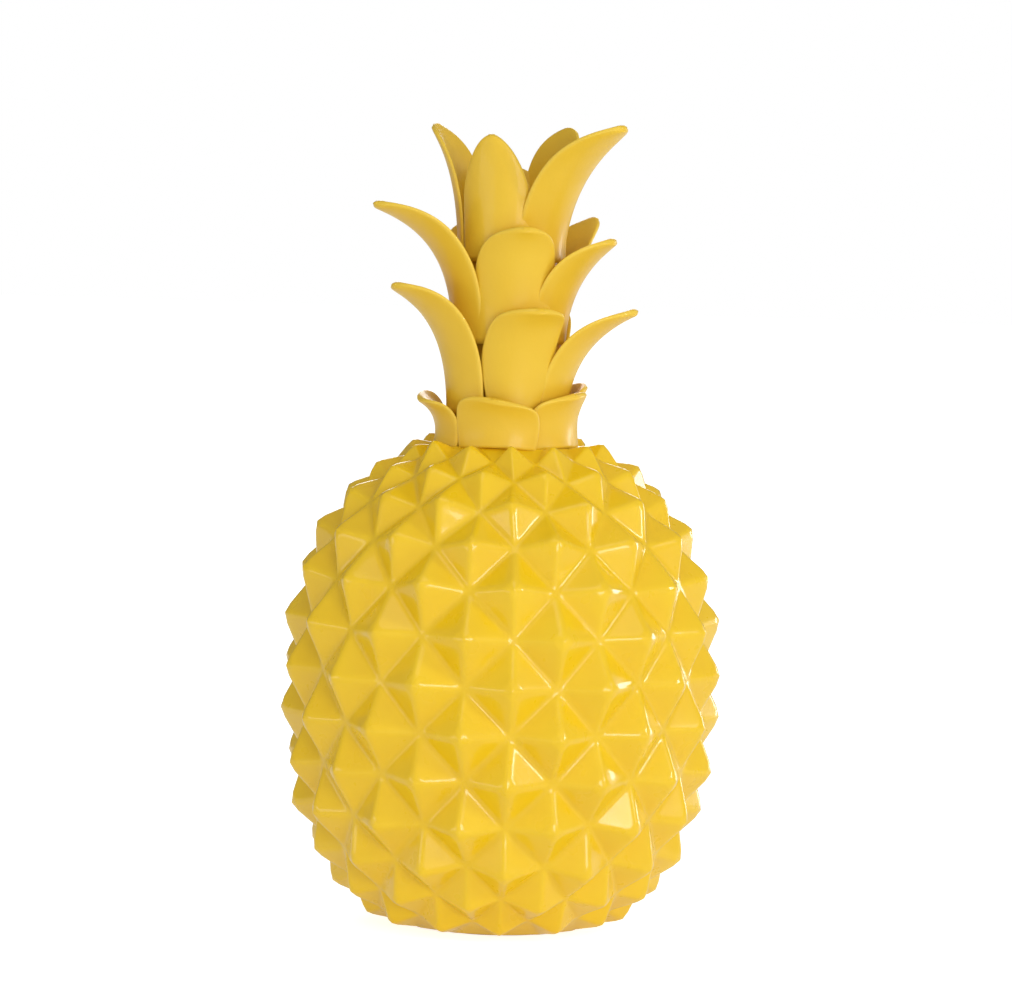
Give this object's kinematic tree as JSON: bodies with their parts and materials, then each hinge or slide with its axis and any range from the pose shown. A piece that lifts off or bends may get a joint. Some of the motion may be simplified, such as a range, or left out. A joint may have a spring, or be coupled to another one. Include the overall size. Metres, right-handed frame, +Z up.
{
  "type": "decorative pineapple jar",
  "caption": "Glossy faceted pineapple jar with staggered pyramid scales and a lift-out crown of curved leaves.",
  "frame": {"origin": "middle of the flat base, on the surface it stands on", "axes": "+Z up along the pineapple's axis, -Y towards the front, +X to the right seen from the front"},
  "size_m": [0.1636, 0.1644, 0.2977],
  "materials": {
    "body_glaze": "gloss",
    "crown_glaze": "satin",
    "seal": "satin",
    "cork": "matte"
  },
  "bodies": {
    "body": {"body_shell": "body_glaze", "base_pad": "cork"},
    "crown": {"crown_core": "crown_glaze", "seal_ring": "seal", "collar_leaf_1": "crown_glaze", "collar_leaf_2": "crown_glaze", "collar_leaf_3": "crown_glaze", "collar_leaf_4": "crown_glaze", "collar_leaf_5": "crown_glaze", "lower_leaf_1": "crown_glaze", "lower_leaf_2": "crown_glaze", "lower_leaf_3": "crown_glaze", "lower_leaf_4": "crown_glaze", "lower_leaf_5": "crown_glaze", "middle_leaf_1": "crown_glaze", "middle_leaf_2": "crown_glaze", "middle_leaf_3": "crown_glaze", "middle_leaf_4": "crown_glaze", "middle_leaf_5": "crown_glaze", "top_leaf_1": "crown_glaze", "top_leaf_2": "crown_glaze", "top_leaf_3": "crown_glaze", "top_leaf_4": "crown_glaze", "top_leaf_5": "crown_glaze"}
  },
  "joints": [
    {"name": "crown_lift", "type": "slide", "parent": "body", "child": "crown", "axis": [0, 0, 1], "range_m": [0, 0.06]}
  ]
}
